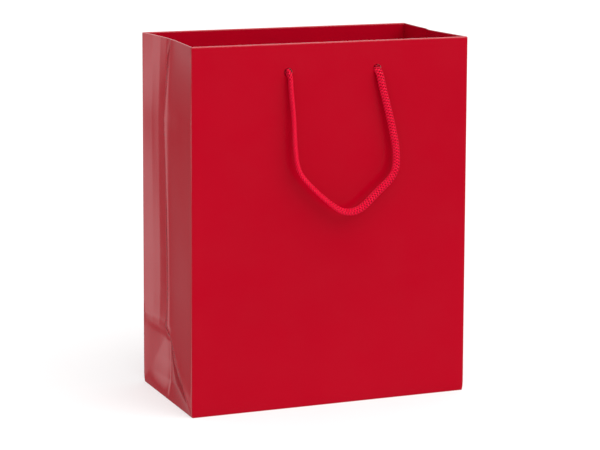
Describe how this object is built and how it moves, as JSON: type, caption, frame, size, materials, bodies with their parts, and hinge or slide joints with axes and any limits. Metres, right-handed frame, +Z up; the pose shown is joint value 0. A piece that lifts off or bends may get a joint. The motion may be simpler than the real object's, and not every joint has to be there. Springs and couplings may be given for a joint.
{
  "type": "gift bag",
  "caption": "Upright rectangular paper gift bag with side gussets, folded top hem, glued square bottom, loose base board and corded carrying handles.",
  "frame": {"origin": "centre of the bag's underside, on the surface it stands on", "axes": "+Z up towards the mouth, -Y out of the front panel, +X to the right as the front is seen"},
  "size_m": [0.2062, 0.1308, 0.254],
  "materials": {
    "laminated_paper": "gloss laminated red outside, plain white inside",
    "greyboard": "uncoated",
    "braided_cord": "soft sheen polypropylene braid"
  },
  "bodies": {
    "bag": {"back_cord_left_knot": "braided_cord", "back_cord_left_stub": "braided_cord", "back_cord_left_tail": "braided_cord", "back_cord_right_knot": "braided_cord", "back_cord_right_stub": "braided_cord", "back_cord_right_tail": "braided_cord", "back_hem": "laminated_paper", "back_hem_card": "greyboard", "back_panel": "laminated_paper", "bottom_back_flap": "laminated_paper", "bottom_front_flap": "laminated_paper", "bottom_left_flap": "laminated_paper", "bottom_right_flap": "laminated_paper", "front_cord_left_knot": "braided_cord", "front_cord_left_stub": "braided_cord", "front_cord_left_tail": "braided_cord", "front_cord_right_knot": "braided_cord", "front_cord_right_stub": "braided_cord", "front_cord_right_tail": "braided_cord", "front_hem": "laminated_paper", "front_hem_card": "greyboard", "front_panel": "laminated_paper", "left_gusset_back_facet": "laminated_paper", "left_gusset_back_half": "laminated_paper", "left_gusset_foot_facet": "laminated_paper", "left_gusset_front_facet": "laminated_paper", "left_gusset_front_half": "laminated_paper", "left_hem_back_half": "laminated_paper", "left_hem_front_half": "laminated_paper", "right_gusset_back_facet": "laminated_paper", "right_gusset_back_half": "laminated_paper", "right_gusset_foot_facet": "laminated_paper", "right_gusset_front_facet": "laminated_paper", "right_gusset_front_half": "laminated_paper", "right_hem_back_half": "laminated_paper", "right_hem_front_half": "laminated_paper", "side_glue_flap": "laminated_paper"},
    "front_handle": {"front_handle_cord": "braided_cord"},
    "back_handle": {"back_handle_cord": "braided_cord"},
    "base_insert": {"base_board": "greyboard"}
  },
  "joints": [
    {"name": "front_handle_swing", "type": "hinge", "parent": "bag", "child": "front_handle", "pos_m": [0, -0.0562, 0.2345], "axis": [-1, 0, 0], "range_deg": [0, 175]},
    {"name": "back_handle_swing", "type": "hinge", "parent": "bag", "child": "back_handle", "pos_m": [0, 0.0562, 0.2345], "axis": [1, 0, 0], "range_deg": [0, 175]},
    {"name": "base_board_lift", "type": "slide", "parent": "bag", "child": "base_insert", "axis": [0, 0, 1], "range_m": [0, 0.2]}
  ]
}
